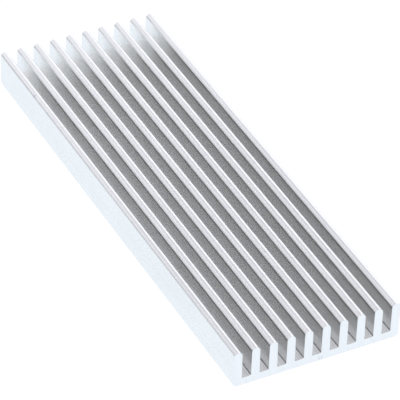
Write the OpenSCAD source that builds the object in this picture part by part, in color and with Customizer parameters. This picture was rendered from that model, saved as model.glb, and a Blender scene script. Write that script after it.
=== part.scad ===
// Extruded aluminium heat sink: a thin base plate that carries a comb of straight fins,
// cut to length from one bar. X runs across the fins, Y along the bar and Z up from the
// mounting face. The origin is the middle of the mounting face.

/* [Bar] */
// Width across all the fins
bar_w = 40; // [32:1:80]
// Length cut from the bar
bar_l = 120; // [30:1:300]
// Height from the mounting face to the fin tips
bar_h = 9.1; // [6:0.1:25]
// Thickness of the base plate under the grooves
base_t = 1.9; // [1.2:0.1:3]
// Radius along the two lower edges of the bar
edge_r = 0.9; // [0.2:0.1:1.2]

/* [Fins] */
// Number of fins
fin_count = 10; // [3:1:13]
// Thickness of a fin below its rounded tip
fin_tip_t = 2; // [1:0.1:3]
// How much thicker a fin is at its foot than below its tip
fin_taper = 0.1; // [0.02:0.02:0.4]
// Radius of the fillet along each side of a groove's floor
root_r = 0.3; // [0.1:0.05:0.4]

/* [Hidden] */
$fn = 64;
tip_r = fin_tip_t / 2;
tip_z = bar_h - tip_r;
last_fin = fin_count - 1;
fin_pitch = (bar_w - fin_tip_t) / last_fin;
// How far a tapered flank stands out at its foot, and its lean from upright
foot_out = fin_taper / 2;
flank_lean = atan(foot_out / (tip_z - base_t));
// How deep fins and fillets reach into the base plate that they grow out of
root_sink = base_t / 4;

// Middle of a fin, counted from 0 at the -X side
function fin_x(i) = (i - last_fin / 2) * fin_pitch;

// Carries a profile, drawn with its height along Y, over the length of the bar
module along_bar() {
    rotate([90, 0, 0])
        linear_extrude(height = bar_l, center = true)
            children();
}

// Base plate with rounded lower edges
module base_plate() {
    along_bar() {
        translate([-bar_w / 2, edge_r])
            square([bar_w, base_t - edge_r]);
        translate([-bar_w / 2 + edge_r, 0])
            square([bar_w - 2 * edge_r, base_t]);
        for (side = [-1, 1])
            translate([side * (bar_w / 2 - edge_r), edge_r])
                circle(r = edge_r);
    }
}

// Upper half of a disc, which rounds a fin off from flank to flank
module round_tip() {
    intersection() {
        circle(r = tip_r);
        translate([-fin_tip_t, 0])
            square([2 * fin_tip_t, fin_tip_t]);
    }
}

// One fin, whose foot is wider by left_out on its -X side and right_out on its +X side
module fin(left_out, right_out) {
    along_bar()
        polygon([
            [-tip_r - left_out, base_t - root_sink],
            [-tip_r - left_out, base_t],
            [-tip_r, tip_z],
            [tip_r, tip_z],
            [tip_r + right_out, base_t],
            [tip_r + right_out, base_t - root_sink]
        ]);
    along_bar()
        translate([0, tip_z])
            round_tip();
}

// Fillet between a groove's floor and the +X flank of a fin, tangent to both
module root_fillet() {
    centre_x = tip_r + foot_out + root_r * (1 / cos(flank_lean) - tan(flank_lean));
    touch_x = centre_x - root_r * cos(flank_lean);
    touch_z = base_t + root_r * (1 - sin(flank_lean));
    along_bar()
        difference() {
            polygon([
                [tip_r, base_t - root_sink],
                [centre_x, base_t - root_sink],
                [centre_x, base_t],
                [touch_x, touch_z],
                [tip_r, touch_z]
            ]);
            translate([centre_x, base_t + root_r])
                circle(r = root_r);
        }
}

// The whole bar: the outermost flanks are upright, and every flank in a groove is tapered
module heat_sink() {
    color("#e4e7ec") {
        base_plate();
        for (i = [0 : last_fin])
            translate([fin_x(i), 0, 0]) {
                fin(i > 0 ? foot_out : 0, i < last_fin ? foot_out : 0);
                if (i < last_fin)
                    root_fillet();
                if (i > 0)
                    mirror([1, 0, 0])
                        root_fillet();
            }
    }
}

heat_sink();
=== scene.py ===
# An extruded aluminium heat sink lying on a plain pale floor
from math import cos, radians, sin

import bmesh
import bpy
from mathutils import Matrix, Vector


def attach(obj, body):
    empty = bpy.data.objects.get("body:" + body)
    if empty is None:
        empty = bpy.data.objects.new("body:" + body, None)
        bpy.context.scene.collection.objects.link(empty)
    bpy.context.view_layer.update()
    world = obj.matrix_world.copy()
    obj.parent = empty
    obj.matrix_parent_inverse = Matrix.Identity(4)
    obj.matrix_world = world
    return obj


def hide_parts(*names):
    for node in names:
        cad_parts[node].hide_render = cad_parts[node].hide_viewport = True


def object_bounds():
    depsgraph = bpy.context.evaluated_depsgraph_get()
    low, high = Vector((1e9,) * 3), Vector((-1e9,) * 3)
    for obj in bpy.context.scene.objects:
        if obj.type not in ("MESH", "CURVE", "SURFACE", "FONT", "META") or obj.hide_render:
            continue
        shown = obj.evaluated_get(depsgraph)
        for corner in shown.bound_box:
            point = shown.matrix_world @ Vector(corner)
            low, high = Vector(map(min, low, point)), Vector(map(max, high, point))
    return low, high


mm = 0.001

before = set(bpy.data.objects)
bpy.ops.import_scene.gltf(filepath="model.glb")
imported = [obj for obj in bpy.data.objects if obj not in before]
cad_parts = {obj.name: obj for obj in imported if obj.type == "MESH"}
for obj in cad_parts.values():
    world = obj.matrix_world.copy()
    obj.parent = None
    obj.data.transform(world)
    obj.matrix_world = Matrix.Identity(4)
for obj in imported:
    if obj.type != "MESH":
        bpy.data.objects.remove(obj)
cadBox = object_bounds()
print("frame loaded")


# Shader maths: an expression on wrapped sockets adds the Math nodes for it
class Value:
    def __init__(self, shader, socket):
        self.shader, self.socket = shader, socket

    def math(self, operation, *others):
        return self.shader.node("ShaderNodeMath", {"operation": operation}, [self, *others])

    def __add__(self, other):
        return self.math("ADD", other)

    def __radd__(self, other):
        return self.math("ADD", other)

    def __sub__(self, other):
        return self.math("SUBTRACT", other)

    def __rsub__(self, other):
        return self.shader.node("ShaderNodeMath", {"operation": "SUBTRACT"}, [other, self])

    def __mul__(self, other):
        return self.math("MULTIPLY", other)

    def __rmul__(self, other):
        return self.math("MULTIPLY", other)


class Shader:
    def __init__(self, tree):
        self.tree = tree
        tree.nodes.clear()

    # Adds a node: its settings first, then values or links for its sockets
    def node(self, kind, settings=None, inputs=(), output=0):
        made = self.tree.nodes.new(kind)
        for name, value in (settings or {}).items():
            setattr(made, name, value)
        named = inputs.items() if isinstance(inputs, dict) else enumerate(inputs)
        for name, value in named:
            if isinstance(value, Value):
                self.tree.links.new(value.socket, made.inputs[name])
            else:
                made.inputs[name].default_value = value
        return Value(self, made.outputs[output]) if made.outputs else None

    def noise(self, place, scale, detail):
        return self.node("ShaderNodeTexNoise", {}, {"Vector": place, "Scale": scale, "Detail": detail})

    # Smooth step from 0 to 1
    def ramp(self, value, low, high):
        return self.node("ShaderNodeMapRange", {"interpolation_type": "SMOOTHSTEP"},
                         {"Value": value, "From Min": low, "From Max": high, "To Min": 0.0, "To Max": 1.0})

    def blend(self, amount, first, second):
        colours = [c if isinstance(c, Value) else (*c, 1) for c in (first, second)]
        return self.node("ShaderNodeMix", {"data_type": "RGBA"},
                         {0: amount, 6: colours[0], 7: colours[1]}, output=2)

    # Distance between two places, each a socket or a fixed point
    def distance(self, first, second):
        return self.node("ShaderNodeVectorMath", {"operation": "DISTANCE"},
                         {0: first, 1: second}, output="Value")

    # One coordinate of a place
    def along(self, place, axis):
        return self.node("ShaderNodeSeparateXYZ", {}, [place], output=axis)

    def bump(self, depth, height):
        return self.node("ShaderNodeBump", {}, {"Strength": 1.0, "Distance": depth, "Height": height})

    def metal(self, colour, roughness, normal):
        surface = self.node("ShaderNodeBsdfPrincipled", {},
                            {"Base Color": colour, "Metallic": 1.0, "Roughness": roughness, "Normal": normal})
        self.node("ShaderNodeOutputMaterial", {}, {"Surface": surface})


def newMaterial(name):
    material = bpy.data.materials.new(name)
    material.use_nodes = True
    return material, Shader(material.node_tree)


# The bar
bar = {
    "fins": 10,
    "finTop": 2.0 * mm,  # thickness below the round tip
    "finFoot": 2.1 * mm,  # thickness at the groove floor
    "base": 1.9 * mm,
    "tipRound": 0.999 * mm,  # just short of half a fin, so the two roundings meet
    "rootRound": 0.3 * mm,
    "lowerRound": 0.9 * mm,
    "endBreak": 0.08 * mm,  # the saw burr is brushed off the ends by this much
    "endFacing": 0.99,  # a face turned this squarely along the bar is an end
    "merge": 0.005 * mm,  # points closer than this become one
    "tipSteps": 8,
    "rootSteps": 4,
    "lowerSteps": 6,
    "endSteps": 2,
}


# Sharp section of the bar in X and Z, one corner after another, going round once
def barSection(low, high):
    pitch = (high.x - low.x - bar["finTop"]) / (bar["fins"] - 1)
    foot = (bar["finFoot"] - bar["finTop"]) / 2
    floor = low.z + bar["base"]
    corners = [(low.x, low.z, "lower"), (high.x, low.z, "lower")]
    for i in reversed(range(bar["fins"])):
        left = low.x + i * pitch
        right = left + bar["finTop"]
        if i < bar["fins"] - 1:
            corners.append((right + foot, floor, "root"))
        corners += [(right, high.z, "tip"), (left, high.z, "tip")]
        if i > 0:
            corners.append((left - foot, floor, "root"))
    return corners


# The flat faces at the two ends, without the broken edge round them
def endFlats(bm):
    return [f for f in bm.faces if abs(f.normal.y) > bar["endFacing"]]


def makeBar(low, high):
    corners = barSection(low, high)
    bm = bmesh.new()
    ring = [bm.verts.new((x, low.y, z)) for x, z, kind in corners]
    kinds = {"lower": [], "root": [], "tip": []}
    face = bm.faces.new(ring)
    made = bmesh.ops.extrude_face_region(bm, geom=[face])
    moved = [v for v in made["geom"] if isinstance(v, bmesh.types.BMVert)]
    bmesh.ops.translate(bm, verts=moved, vec=(0, high.y - low.y, 0))
    bmesh.ops.recalc_face_normals(bm, faces=bm.faces)
    for v, (x, z, kind) in zip(ring, corners):
        kinds[kind] += [e for e in v.link_edges if abs(e.verts[0].co.y - e.verts[1].co.y) > mm]
    for kind in kinds:
        bmesh.ops.bevel(bm, geom=kinds[kind], offset=bar[kind + "Round"], offset_type="OFFSET",
                        affect="EDGES", segments=bar[kind + "Steps"], profile=0.5, material=-1,
                        clamp_overlap=True)
    bmesh.ops.remove_doubles(bm, verts=bm.verts, dist=bar["merge"])
    # the sawn ends: a brushed edge all round, with the sawn finish on the flat only
    rims = {e for f in endFlats(bm) for e in f.edges}
    bmesh.ops.bevel(bm, geom=list(rims), offset=bar["endBreak"], offset_type="OFFSET", affect="EDGES",
                    segments=bar["endSteps"], profile=0.5, material=-1, clamp_overlap=True)
    for f in endFlats(bm):
        f.material_index = 1
    mesh = bpy.data.meshes.new("finnedBar")
    bm.to_mesh(mesh)
    bm.free()
    mesh.shade_smooth()
    piece = bpy.data.objects.new("finnedBar", mesh)
    bpy.context.scene.collection.objects.link(piece)
    # flats keep their own direction, and only the roundings turn the light
    even = piece.modifiers.new("evenNormals", "WEIGHTED_NORMAL")
    even.mode = "FACE_AREA"
    even.weight = 100
    return piece


# Metal as it leaves the die: bright, softly glossy, with lines drawn along the bar, and with painted shade
# low in the grooves
extruded = {
    "metal": (0.976, 0.983, 0.973),
    "lineMetal": (0.857, 0.864, 0.854),  # in the deeper grain and lines
    "darkShares": (0.7, 0.2, 0.1),  # what grain, lines and clouds add to where that shows
    "darkRange": (0.38, 0.62),
    "speck": (0.72, 0.72, 0.70),
    "speckEdge": (0.035, 0.06),  # in parts of a cell
    "roughness": 0.26,
    "grooveRoughness": 0.18,  # at the bottom of the grooves, which nothing rubs
    "grooveHeights": (2.4 * mm, 3.4 * mm),  # between which one turns into the other
    "grooveShadeTone": (0.855, 0.862, 0.855),  # painted shade, low in the grooves
    "grooveShadeShare": 0.8,
    "grooveShadeHeights": (2.4 * mm, 5.2 * mm),
    "outerFins": 18.5 * mm,  # the grooves lie within this much of the middle
    "lineRoughness": 0.07,  # how much the lines change it
    "cloudRoughness": 0.03,
    "grain": 5200.0,  # per metre
    "grainTurn": (0.6, 0.5, 0.4),
    "fineLines": 5200.0,  # per metre, across the bar
    "broadLines": 1300.0,
    "fineShare": 0.65,
    "stretch": 0.004,  # the lines are this much slower along the bar
    "lineStart": (0.0137, 0.0091, 0.0173),  # keeps the pattern's own centre off the bar
    "clouds": 130.0,
    "specks": 420.0,
    "lineDepth": 0.0018 * mm,
    "reliefShares": (0.6, 0.15),  # what lines and grain add to the relief
    "rubAt": (-19.75 * mm, 41.4 * mm, 8.8 * mm),  # one small rubbed spot on the first fin's outer edge
    "rubSize": (0.2 * mm, 0.65 * mm),
    "rubTone": (0.76, 0.76, 0.78),
}


def extrudedMetal():
    material, s = newMaterial("extrudedAluminium")
    place = s.node("ShaderNodeTexCoord", output="Object")
    drawn = s.node("ShaderNodeMapping", {}, {"Vector": place, "Location": extruded["lineStart"],
                                             "Scale": (1, extruded["stretch"], 1)})
    fine = s.noise(drawn, extruded["fineLines"], detail=2.0)
    broad = s.noise(drawn, extruded["broadLines"], detail=1.0)
    cloud = s.noise(place, extruded["clouds"], detail=3.0)
    turned = s.node("ShaderNodeMapping", {}, {"Vector": place, "Rotation": extruded["grainTurn"]})
    grain = s.noise(turned, extruded["grain"], detail=1.0)
    lines = fine * extruded["fineShare"] + broad * (1 - extruded["fineShare"])
    height = s.along(place, "Z")
    inGrooves = s.along(place, "X").math("ABSOLUTE").math("LESS_THAN", extruded["outerFins"])
    smoother = (1 - s.ramp(height, *extruded["grooveHeights"])) * inGrooves
    # painted shade: the metal darkens towards the groove floors, between the outer fins
    grooveShade = (1 - s.ramp(height, *extruded["grooveShadeHeights"])) * inGrooves
    byGrain, byLines, byCloud = extruded["darkShares"]
    dark = s.ramp(grain * byGrain + lines * byLines + cloud * byCloud, *extruded["darkRange"])
    metal = s.blend(dark, extruded["lineMetal"], extruded["metal"])
    metal = s.blend(grooveShade * extruded["grooveShadeShare"], metal, extruded["grooveShadeTone"])
    cells = s.node("ShaderNodeTexVoronoi", {"feature": "F1"}, {"Vector": place, "Scale": extruded["specks"]})
    speck = s.ramp(cells, *extruded["speckEdge"])
    metal = s.blend(speck, extruded["speck"], metal)
    offRub = s.ramp(s.distance(place, extruded["rubAt"]), *extruded["rubSize"])
    metal = s.blend(offRub, extruded["rubTone"], metal)
    roughness = (lines - 0.5) * extruded["lineRoughness"] + (cloud - 0.5) * extruded["cloudRoughness"]
    lessRough = extruded["grooveRoughness"] - extruded["roughness"]
    roughness = smoother * lessRough + roughness + extruded["roughness"]
    byLines, byGrain = extruded["reliefShares"]
    s.metal(metal, roughness, s.bump(extruded["lineDepth"], lines * byLines + grain * byGrain))
    return material


# Sawn ends: the same metal, with the fine curved lines of a large saw blade
sawn = {
    "metal": (0.957, 0.967, 0.969),
    "lineMetal": (0.917, 0.925, 0.927),
    "roughness": 0.30,
    "lineRoughness": 0.08,
    "bladeCentre": (150 * mm, 0, 38 * mm),
    "teethLines": 3400.0,  # per metre of the blade's radius
    "feedLines": 700.0,
    "grain": 2600.0,
    "lineShares": (0.55, 0.25, 0.2),  # of teeth, feed and grain
    "lineRange": (0.34, 0.6),
    "lineDepth": 0.004 * mm,
    # two faint ticks rubbed into the near end, below the middle groove
    "tickMiddle": 0.95 * mm,  # in X
    "tickApart": 0.3 * mm,  # each lies this far to its own side
    "tickWidth": (0.06 * mm, 0.22 * mm),
    "tickTop": (0.9 * mm, 1.3 * mm),
    "tickTone": (0.80, 0.80, 0.83),
}


def sawnMetal():
    material, s = newMaterial("sawnAluminium")
    place = s.node("ShaderNodeTexCoord", output="Object")
    radius = s.distance(place, sawn["bladeCentre"])
    oneWay = {"noise_dimensions": "1D"}
    teeth = s.node("ShaderNodeTexNoise", oneWay, {"W": radius, "Scale": sawn["teethLines"], "Detail": 2.0})
    feed = s.node("ShaderNodeTexNoise", oneWay, {"W": radius, "Scale": sawn["feedLines"], "Detail": 0.0})
    grain = s.noise(place, sawn["grain"], detail=2.0)
    byTeeth, byFeed, byGrain = sawn["lineShares"]
    lines = teeth * byTeeth + feed * byFeed + grain * byGrain
    metal = s.blend(s.ramp(lines, *sawn["lineRange"]), sawn["lineMetal"], sawn["metal"])
    x, y, z = (s.along(place, axis) for axis in "XYZ")
    away = ((x - sawn["tickMiddle"]).math("ABSOLUTE") - sawn["tickApart"]).math("ABSOLUTE")
    low = (1 - s.ramp(z, *sawn["tickTop"])) * y.math("LESS_THAN", 0.0)
    metal = s.blend((1 - s.ramp(away, *sawn["tickWidth"])) * low, metal, sawn["tickTone"])
    roughness = (lines - 0.5) * sawn["lineRoughness"] + sawn["roughness"]
    s.metal(metal, roughness, s.bump(sawn["lineDepth"], lines))
    return material


finnedBar = makeBar(*cadBox)
finnedBar.data.materials.append(extrudedMetal())
finnedBar.data.materials.append(sawnMetal())
print("bar made:", len(finnedBar.data.polygons), "faces")
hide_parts("heat_sink")
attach(finnedBar, "root")

# Camera
camera = {
    "azimuth": -27.986,
    "elevation": 37.912,
    "roll": 1.874,
    "lens": 288.5,
    "sensor": 36,
    "clip": (0.05, 50),
    "distance": 0.71906,
    "aim": (-0.00004, -0.004816, 0.00455),
}


def placeCamera():
    a, e, r = (radians(camera[k]) for k in ("azimuth", "elevation", "roll"))
    back = Vector((sin(a) * cos(e), -cos(a) * cos(e), sin(e)))
    level = Vector((cos(a), sin(a), 0))
    upright = back.cross(level)
    right = level * cos(r) + upright * sin(r)
    up = back.cross(right)
    data = bpy.data.cameras.new("camera")
    data.lens = camera["lens"]
    data.sensor_width = camera["sensor"]
    data.clip_start, data.clip_end = camera["clip"]
    cam = bpy.data.objects.new("camera", data)
    turned = Matrix((right, up, back)).transposed().to_4x4()
    cam.matrix_world = Matrix.Translation(Vector(camera["aim"]) + back * camera["distance"]) @ turned
    bpy.context.scene.collection.objects.link(cam)
    bpy.context.scene.camera = cam


placeCamera()
print("camera placed")

# Studio: a white floor, reflected as a pale blue sheet in the middle and with painted shade beyond it, inside
# a soft pale surround, with a grey card overhead
studio = {
    "floorSize": 4.0,
    "floorColour": (0.90, 0.93, 0.95),
    "floorShade": 0.16,  # share of the floor's look that takes the object's shadow
    "floorSeen": (0.90, 0.90, 0.90),
    "sheetMirrored": (0.808, 0.859, 0.918),
    # painted shade: how the floor reflects beyond the sheet; the camera sees it white
    "farShadeMirrored": (0.375, 0.395, 0.415),
    "farShadeEdge": (0.12, 0.20),  # from the middle, where the sheet gives way to the painted shade
    "surround": (0.925, 0.927, 0.987),
    # softly brighter and darker parts of the surround:
    # azimuth from +Y towards +X, elevation, tightness, amount
    "patches": [
        (43, 14, 24, 0.345),
        (-45, 4, 20, -0.36),
        (-45, 1, 90, -0.30),
    ],
    "cardHeight": 0.35,
    "cardX": (-0.50, 0.18),
    "cardY": (0.20, 0.37),
    "cardTones": ((0.76, 0.75, 0.81), (0.61, 0.60, 0.66)),  # left part, right part
    "cardFade": (-0.10, -0.02),  # in X, where one turns into the other
}


def makeFloor():
    bm = bmesh.new()
    bmesh.ops.create_grid(bm, x_segments=1, y_segments=1, size=studio["floorSize"] / 2)
    mesh = bpy.data.meshes.new("floor")
    bm.to_mesh(mesh)
    bm.free()
    floor = bpy.data.objects.new("floor", mesh)
    bpy.context.scene.collection.objects.link(floor)
    material, s = newMaterial("paleFloor")
    path = s.tree.nodes.new("ShaderNodeLightPath")
    seen = Value(s, path.outputs["Is Camera Ray"])
    mirrored = Value(s, path.outputs["Is Glossy Ray"]) + Value(s, path.outputs["Is Transmission Ray"])
    lit = s.node("ShaderNodeBsdfDiffuse", {}, {"Color": (*studio["floorColour"], 1)})
    place = s.node("ShaderNodeTexCoord", output="Object")
    out = s.node("ShaderNodeVectorMath", {"operation": "LENGTH"}, [place], output="Value")
    # painted shade in the floor's reflection beyond the sheet
    edge = s.ramp(out, *studio["farShadeEdge"])
    mirroredColourAndShade = s.blend(edge, studio["sheetMirrored"], studio["farShadeMirrored"])
    colour = s.blend(seen, mirroredColourAndShade, studio["floorSeen"])
    white = s.node("ShaderNodeEmission", {}, {"Color": colour, "Strength": 1.0 / (1 - studio["floorShade"])})
    mixed = s.node("ShaderNodeMixShader", {}, [(seen + mirrored) * (1 - studio["floorShade"]), lit, white])
    s.node("ShaderNodeOutputMaterial", {}, {"Surface": mixed})
    mesh.materials.append(material)


# The bar reflects the card as the darker line along its tips, and the camera never sees it
def makeCard():
    low, high = zip(studio["cardX"], studio["cardY"])
    bm = bmesh.new()
    bmesh.ops.create_grid(bm, x_segments=1, y_segments=1, size=0.5)
    bmesh.ops.scale(bm, verts=bm.verts, vec=(high[0] - low[0], high[1] - low[1], 1))
    middle = ((low[0] + high[0]) / 2, (low[1] + high[1]) / 2, studio["cardHeight"])
    bmesh.ops.translate(bm, verts=bm.verts, vec=middle)
    mesh = bpy.data.meshes.new("greyCard")
    bm.to_mesh(mesh)
    bm.free()
    card = bpy.data.objects.new("greyCard", mesh)
    card.visible_camera = False
    bpy.context.scene.collection.objects.link(card)
    material, s = newMaterial("greyCard")
    place = s.node("ShaderNodeTexCoord", output="Object")
    tone = s.blend(s.ramp(s.along(place, "X"), *studio["cardFade"]), *studio["cardTones"])
    glow = s.node("ShaderNodeEmission", {}, {"Color": tone, "Strength": 1.0})
    s.node("ShaderNodeOutputMaterial", {}, {"Surface": glow})
    mesh.materials.append(material)


def makeSurround():
    world = bpy.data.worlds.new("surround")
    world.use_nodes = True
    s = Shader(world.node_tree)
    way = s.node("ShaderNodeTexCoord", output="Generated")
    glow = 1.0
    for azimuth, elevation, tightness, amount in studio["patches"]:
        a, e = radians(azimuth), radians(elevation)
        toward = (sin(a) * cos(e), cos(a) * cos(e), sin(e))
        facing = s.node("ShaderNodeVectorMath", {"operation": "DOT_PRODUCT"}, [way, toward], output="Value")
        glow = facing.math("MAXIMUM", 0.0).math("POWER", tightness) * amount + glow
    path = s.tree.nodes.new("ShaderNodeLightPath")
    seen = Value(s, path.outputs["Is Camera Ray"])
    colour = s.blend(seen, studio["surround"], (1, 1, 1))
    light = s.node("ShaderNodeBackground", {}, {"Color": colour, "Strength": glow * (1 - seen) + seen})
    s.node("ShaderNodeOutputWorld", {}, {"Surface": light})
    bpy.context.scene.world = world


makeFloor()
makeCard()
makeSurround()
bpy.context.scene.view_settings.view_transform = "Standard"
print("studio made")
